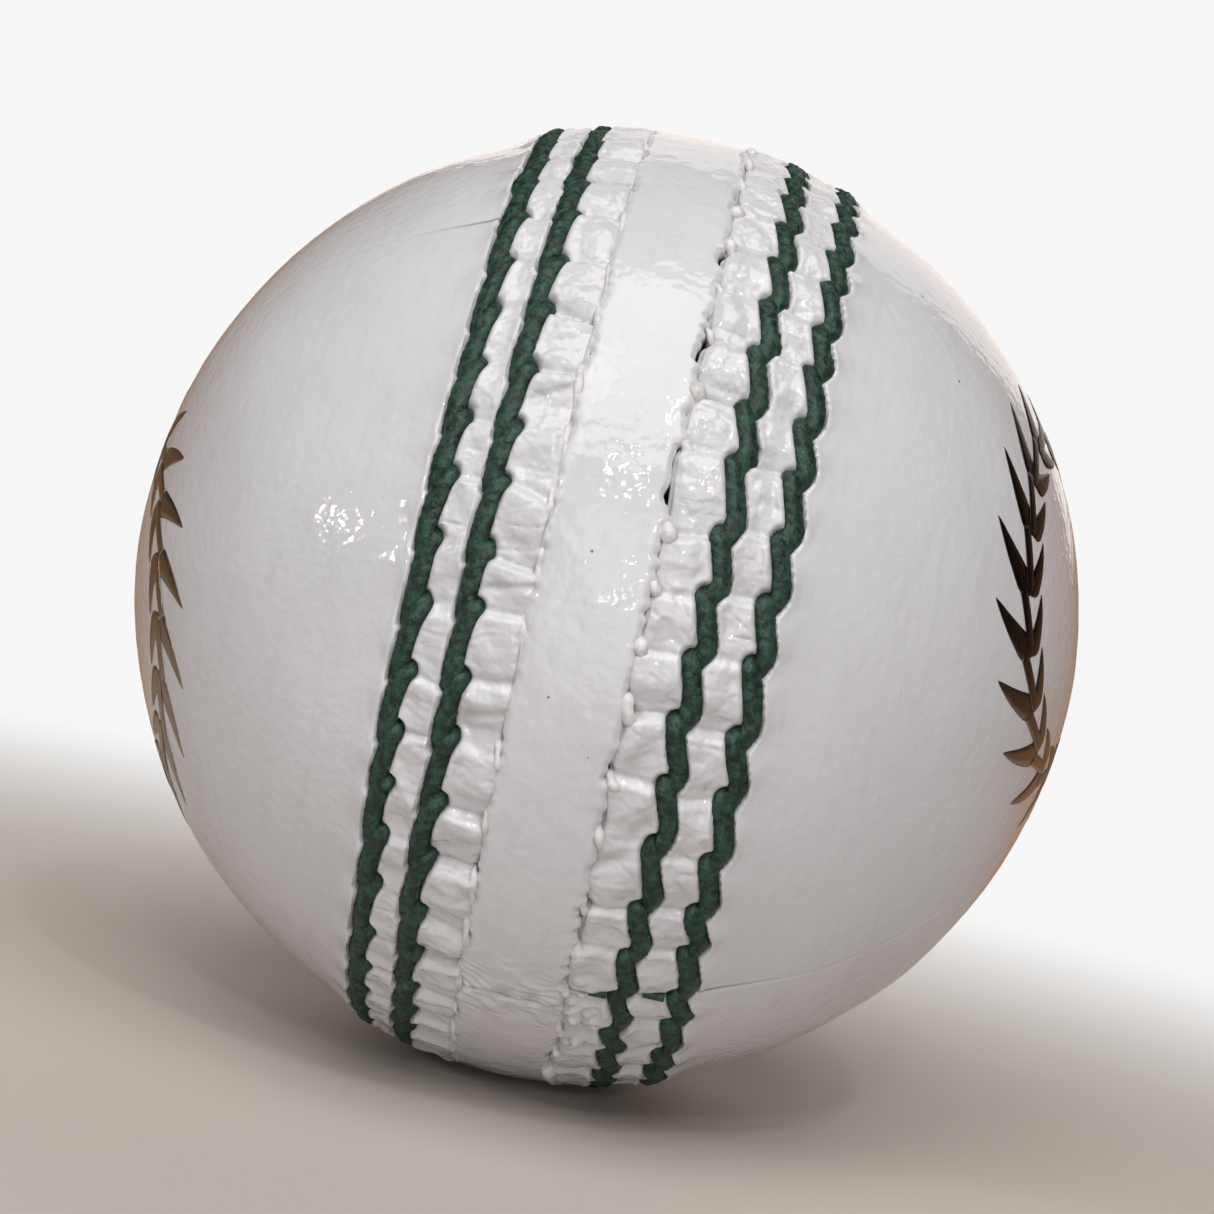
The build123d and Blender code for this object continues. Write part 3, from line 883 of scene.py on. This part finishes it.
def whiteLeather():
    paint = Paint("whiteLeather", IOR=1.5)
    mmPlace = paint.place()
    crease = paint.attribute("crease")
    pad = paint.attribute("pad")
    gap = paint.attribute("gap")
    thread = paint.attribute("thread")
    joint = paint.attribute("joint")
    broad = paint.ripple(mmPlace, 0.11, 2)
    streaks = paint.ripple(paint.place((1.0, 0.16, 0.16)), 0.9, 4, 0.6)
    fine = paint.ripple(mmPlace, 2.6, 4, 0.6)
    grain = paint.cells(mmPlace, 3.4)
    white = paint.blend(broad, *leatherLook["white"])
    white = paint.blend(paint.steep(streaks, 0.50, 0.74, 0, 0.22), white, leatherLook["streak"])
    white = paint.blend(pad * paint.steep(fine, 0.45, 0.75, 0, 0.25), white, leatherLook["padTint"])
    white = paint.blend(paint.steep(crease, 0.72, 1.0, 0, 0.30), white, leatherLook["creaseShade"])
    white = paint.blend(paint.steep(joint, 0.3, 0.95, 0, 0.75), white, leatherLook["jointShade"])
    specks = paint.cells(mmPlace, 0.22)
    white = paint.blend(paint.steep(specks, 0.020, 0.034, 0.85, 0), white, leatherLook["speck"])
    # Beside the threads the leather takes a green stain from the thread and painted shade down in the groove
    # where the thread presses in.
    white = paint.blend(paint.steep(thread, 0.8, 1.0, 0, 0.4), white, leatherLook["threadStainAndShade"])
    # The gaps at the cups' edges, the band's walls and the leather's underside are painted undyed brown,
    # darkened further as painted shade, in patches that vary at random.
    dirt = paint.steep(paint.ripple(mmPlace, 0.35, 2), 0.42, 0.58)
    white = paint.blend(paint.steep(gap, 0.35, 0.9), white, paint.blend(dirt, *leatherLook["gapRawLeatherAndShade"]))
    rough = leatherLook["roughness"] + 0.03 * fine + 0.04 * paint.steep(streaks, 0.45, 0.75)
    rough = rough + 0.5 * paint.steep(gap, 0.3, 0.8)
    soft = paint.ripple(mmPlace, 0.55, 2)
    sharp = paint.ripple(mmPlace, 1.25, 1, 0.45)
    paint.bumps(
        (soft * (0.4 + 0.6 * pad), 0.12, 0.75),
        (sharp * (0.50 + 1.1 * pad), 0.14, 0.85),
        (fine, 0.005, 0.7),
        (grain, 0.003, 0.6),
        (streaks, 0.035, 0.6),
    )
    paint.use(Base_Color=white, Roughness=rough)
    return paint.material


cordLook = {
    "green": ((0.003, 0.016, 0.009), (0.020, 0.074, 0.045)),
    "fibre": (0.022, 0.085, 0.055),
    "paintedGlints": (0.25, 0.30, 0.27),
    "white": ((0.72, 0.71, 0.71), (0.58, 0.56, 0.55)),
    "dirt": (0.36, 0.31, 0.29),
}


def greenCord():
    paint = Paint("greenCord", **{"Specular IOR Level": 0.45})
    mmPlace = paint.place()
    uv = paint.node("ShaderNodeUVMap", {"uv_map": "UVMap"})
    alongCord = {"Vector": uv, "Scale": (9.0, 1.6, 1.0), "Rotation": (0, 0, 0.5)}
    lay = paint.node("ShaderNodeMapping", {}, alongCord)
    fibres = paint.ripple(lay, 1.6, 4, 0.65)
    mottle = paint.ripple(mmPlace, 1.5, 4, 0.65)
    green = paint.blend(paint.steep(mottle, 0.38, 0.66), *cordLook["green"])
    green = paint.blend(paint.steep(fibres, 0.5, 0.8, 0, 0.35), green, cordLook["fibre"])
    # Sparse pale specks on the thread are painted highlights: glints painted into the colour.
    paintedGlints = paint.steep(paint.ripple(mmPlace, 3.3, 3), 0.66, 0.78, 0, 0.25)
    green = paint.blend(paintedGlints, green, cordLook["paintedGlints"])
    paint.bumps((fibres, 0.10, 0.9), (mottle, 0.22, 0.9), (paint.ripple(mmPlace, 5.0, 3), 0.05, 0.7))
    paint.use(Base_Color=green, Roughness=0.26 + 0.30 * fibres)
    return paint.material


def whiteCord():
    paint = Paint("whiteCord", IOR=1.5)
    mmPlace = paint.place()
    lumps = paint.ripple(mmPlace, 2.2, 3)
    white = paint.blend(paint.steep(lumps, 0.35, 0.7), *cordLook["white"])
    dirt = paint.steep(paint.ripple(mmPlace, 0.7, 3), 0.60, 0.74, 0, 0.5)
    white = paint.blend(dirt, white, cordLook["dirt"])
    paint.bumps((lumps, 0.10, 0.7), (paint.ripple(mmPlace, 7, 2), 0.02, 0.5))
    paint.use(Base_Color=white, Roughness=0.3 + 0.25 * lumps)
    return paint.material


foilLook = {
    "metal": ((0.22, 0.17, 0.12), (0.46, 0.38, 0.29)),
    "paintedDarkReflection": (0.035, 0.025, 0.025),
}


def bronzeFoil():
    paint = Paint("bronzeFoil", Metallic=1.0)
    mmPlace = paint.place()
    wear = paint.ripple(mmPlace, 1.8, 5, 0.7)
    metal = paint.blend(wear, *foilLook["metal"])
    # Painted dark reflection: the right mark's metal turns near black towards its top.
    metal = paint.blend(paint.attribute("paintedDarkReflection"), metal, foilLook["paintedDarkReflection"])
    paint.bumps((wear, 0.03, 0.6), (paint.ripple(mmPlace, 0.8, 2), 0.08, 0.5))
    paint.use(Base_Color=metal, Roughness=0.22 + 0.25 * wear)
    return paint.material


def sheetCork(name, dark, light, granule):
    paint = Paint(name)
    mmPlace = paint.place()
    grains = paint.cells(mmPlace, granule, "Color")
    tone = paint.node("ShaderNodeSeparateColor", {}, {"Color": grains})
    edges = paint.cells(mmPlace, granule, "Distance", "DISTANCE_TO_EDGE")
    color = paint.blend(tone, dark, light)
    color = paint.blend(paint.steep(edges, 0.0, 0.10, 0.7, 0), color, tuple(0.3 * c for c in dark))
    paint.bumps((edges, 0.12, 0.6), (paint.ripple(mmPlace, 4, 3), 0.05, 0.6))
    paint.use(Base_Color=color, Roughness=0.75 + 0.15 * tone)
    return paint.material


def woundYarn():
    paint = Paint("woundYarn", **{"Sheen Weight": 0.3})
    layers = []
    for turn in ((0.3, 0.9, 0.2), (1.2, 0.3, 1.9), (2.2, 1.4, 0.7)):
        waves = {"Vector": paint.place((1, 1, 1), turn), "Scale": 0.42, "Distortion": 1.2, "Detail": 2.0}
        layers.append(paint.node("ShaderNodeTexWave", {"wave_type": "BANDS"}, waves))
    choice = paint.ripple(paint.place(), 0.16, 2)
    strands = paint.blend(paint.steep(choice, 0.47, 0.53), layers[0], layers[1])
    otherChoice = paint.ripple(paint.place((1, 1, 1), (1, 1, 0)), 0.2, 2)
    strands = paint.blend(paint.steep(otherChoice, 0.5, 0.55), strands, layers[2])
    height = paint.node("ShaderNodeRGBToBW", {}, {"Color": strands})
    color = paint.blend(height, (0.30, 0.24, 0.16), (0.66, 0.58, 0.44))
    paint.bumps((height, 0.35, 0.9), (paint.ripple(paint.place(), 3.5, 4, 0.7), 0.06, 0.7))
    paint.use(Base_Color=color, Roughness=0.85 + 0.1 * height)
    return paint.material


def liningLeather():
    paint = Paint("liningLeather")
    mmPlace = paint.place()
    nap = paint.ripple(mmPlace, 1.1, 5, 0.7)
    color = paint.blend(nap, (0.40, 0.29, 0.19), (0.66, 0.52, 0.37))
    paint.bumps((nap, 0.10, 0.8), (paint.cells(mmPlace, 2.4), 0.04, 0.6))
    paint.use(Base_Color=color, Roughness=0.7 + 0.2 * nap)
    return paint.material


def dress(piece, material):
    piece.data.materials.clear()
    piece.data.materials.append(material)


leather = whiteLeather()
cord = greenCord()
whiteThread = whiteCord()

for side in (left, right):
    for place in ("front", "back"):
        skin = coverQuarter(side, place)
        dress(skin, leather)
        settle(skin)
        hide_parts(f"cover_{sideNames[side]}_{place}")
        print("leather quarter", skin.name, len(skin.data.polygons))
    for place in ("outer", "inner"):
        row = greenRow(side, place)
        dress(row, cord)
        settle(row)
        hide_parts(rowName(side, place))
        print("stitch row", row.name, len(row.data.polygons))
    edge = edgeRow(side)
    dress(edge, whiteThread)
    settle(edge)
    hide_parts(f"edge_stitches_{sideNames[side]}")
    mark = foilMark(side)
    dress(mark, bronzeFoil())
    settle(mark)
    print("foil mark", mark.name)

band = seamBand()
dress(band, leather)
settle(band)
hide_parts("seam_band")
print("seam band", len(band.data.polygons))

insideFinishes = {
    "cork_rubber": sheetCork("corkAndRubber", (0.05, 0.03, 0.02), (0.22, 0.13, 0.07), 0.55),
    "cork": sheetCork("sheetCork", (0.30, 0.18, 0.09), (0.56, 0.38, 0.22), 0.8),
    "worsted_yarn": woundYarn(),
    "lining_leather": liningLeather(),
    "green_thread": cord,
    "white_thread": whiteThread,
}
for subpart in frame["record"]["subparts"]:
    node = frame["nodes"][subpart["node"]]
    finish = insideFinishes.get(subpart["material_slot"])
    if finish and not node.hide_render:
        node.data.materials.clear()
        node.data.materials.append(finish)
print("inside pieces have their finishes")


studio = {
    "floorSize": 1.2,
    "floorColor": (0.56, 0.5096, 0.4648),
    "cameraDistance": 5.03,     # in cheek radii
    "cameraLens": 69.0,
    "cameraRoll": -12.2,        # degrees
    "cameraTurn": 1.5,          # degrees to the right of the seam
    "around": [(0.0, (0.50, 0.27, 0.14)), (0.5, (0.035, 0.026, 0.02)), (1.0, (0.04, 0.04, 0.04))],
    "backdrop": (0.93, 0.93, 0.93),
}
studioLamps = {
    "key": {"place": (0.05, -0.50, 0.80), "size": 0.8, "power": 5.8, "color": (1.0, 0.995, 0.99)},
    "side": {"place": (-0.45, -0.55, 0.60), "size": 0.6, "power": 1.7, "color": (1.0, 0.99, 0.98)},
    "front": {"place": (0.20, -0.85, 0.00), "size": 0.7, "power": 2.4, "color": (0.985, 0.99, 1.0)},
    "back": {"place": (0.10, 0.85, 0.50), "size": 0.8, "power": 1.8, "color": (1.0, 0.99, 0.98)},
    "spotA": {"place": (-0.591, -0.289, 0.054), "size": 0.018, "power": 0.2, "color": (1, 1, 1)},
    "spotB": {"place": (-0.488, -0.390, 0.214), "size": 0.02, "power": 0.34, "color": (1, 1, 1)},
    "spotC": {"place": (0.016, -0.575, 0.324), "size": 0.018, "power": 0.26, "color": (1, 1, 1)},
    "spotD": {"place": (0.046, -0.658, 0.025), "size": 0.012, "power": 0.09, "color": (1, 1, 1)},
    "spotE": {"place": (0.117, -0.464, 0.455), "size": 0.02, "power": 0.34, "color": (1, 1, 1)},
    "spotF": {"place": (0.200, -0.594, 0.199), "size": 0.018, "power": 0.22, "color": (1, 1, 1)},
}


def areaLamp(name, facts):
    lamp = bpy.data.lights.new(name, "AREA")
    lamp.size, lamp.energy, lamp.color = facts["size"], facts["power"], facts["color"]
    holder = bpy.data.objects.new(name, lamp)
    bpy.context.scene.collection.objects.link(holder)
    place = Vector(facts["place"])
    holder.matrix_world = Matrix.Translation(place) @ place.to_track_quat("Z", "Y").to_matrix().to_4x4()
    return holder


def studioFloor():
    deselectAll()
    underside = (0, 0, cadBox[0][2])
    bpy.ops.mesh.primitive_circle_add(
        vertices=96, radius=studio["floorSize"], fill_type="NGON", location=underside
    )
    floor = bpy.context.active_object
    floor.name = "floor"
    paint = Paint("paleFloor", Roughness=0.7)
    coordinates = paint.node("ShaderNodeTexCoord", output="Object")
    distance = paint.node("ShaderNodeVectorMath", {"operation": "LENGTH"}, {0: coordinates}, "Value")
    shown = paint.steep(distance, 0.05, 0.22, 1, 0)
    paint.use(Base_Color=(*studio["floorColor"], 1), Alpha=shown)
    floor.data.materials.append(paint.material)


def studioWorld():
    world = bpy.data.worlds.new("studio")
    bpy.context.scene.world = world
    world.use_nodes = True
    tree = world.node_tree
    tree.nodes.clear()
    output = tree.nodes.new("ShaderNodeOutputWorld")
    coordinates = tree.nodes.new("ShaderNodeTexCoord")
    ramp = tree.nodes.new("ShaderNodeValToRGB")
    stops = studio["around"]
    while len(ramp.color_ramp.elements) < len(stops):
        ramp.color_ramp.elements.new(0.5)
    for element, (position, color) in zip(ramp.color_ramp.elements, stops):
        element.position, element.color = position, (*color, 1)
    # The surroundings are dim above and in front, and warm below and behind.
    facing = tree.nodes.new("ShaderNodeVectorMath")
    facing.operation = "DOT_PRODUCT"
    facing.inputs[1].default_value = (-0.10, -0.72, 0.68)
    tree.links.new(coordinates.outputs["Generated"], facing.inputs[0])
    height = tree.nodes.new("ShaderNodeMapRange")
    height.inputs["From Min"].default_value = -1
    tree.links.new(facing.outputs["Value"], height.inputs["Value"])
    tree.links.new(height.outputs[0], ramp.inputs[0])
    lighting = tree.nodes.new("ShaderNodeBackground")
    tree.links.new(ramp.outputs[0], lighting.inputs[0])
    seen = tree.nodes.new("ShaderNodeBackground")
    seen.inputs[0].default_value = (*studio["backdrop"], 1)
    path = tree.nodes.new("ShaderNodeLightPath")
    mix = tree.nodes.new("ShaderNodeMixShader")
    tree.links.new(path.outputs["Is Camera Ray"], mix.inputs[0])
    tree.links.new(lighting.outputs[0], mix.inputs[1])
    tree.links.new(seen.outputs[0], mix.inputs[2])
    tree.links.new(mix.outputs[0], output.inputs[0])


def studioCamera():
    camera = bpy.data.cameras.new("camera")
    camera.lens = studio["cameraLens"]
    camera.sensor_width = 36
    camera.clip_start = 0.005
    holder = bpy.data.objects.new("camera", camera)
    bpy.context.scene.collection.objects.link(holder)
    roll = Matrix.Rotation(radians(studio["cameraRoll"]), 4, "Y")
    look = Matrix.Rotation(radians(90), 4, "X")
    away = Matrix.Translation((0, -studio["cameraDistance"] * ball["cheekRadius"] * mm, 0))
    holder.matrix_world = Matrix.Rotation(radians(studio["cameraTurn"]), 4, "Z") @ away @ roll @ look
    bpy.context.scene.camera = holder


studioFloor()
studioWorld()
for name, facts in studioLamps.items():
    areaLamp(name, facts)
studioCamera()
bpy.context.scene.view_settings.view_transform = "Standard"
print("studio is set")
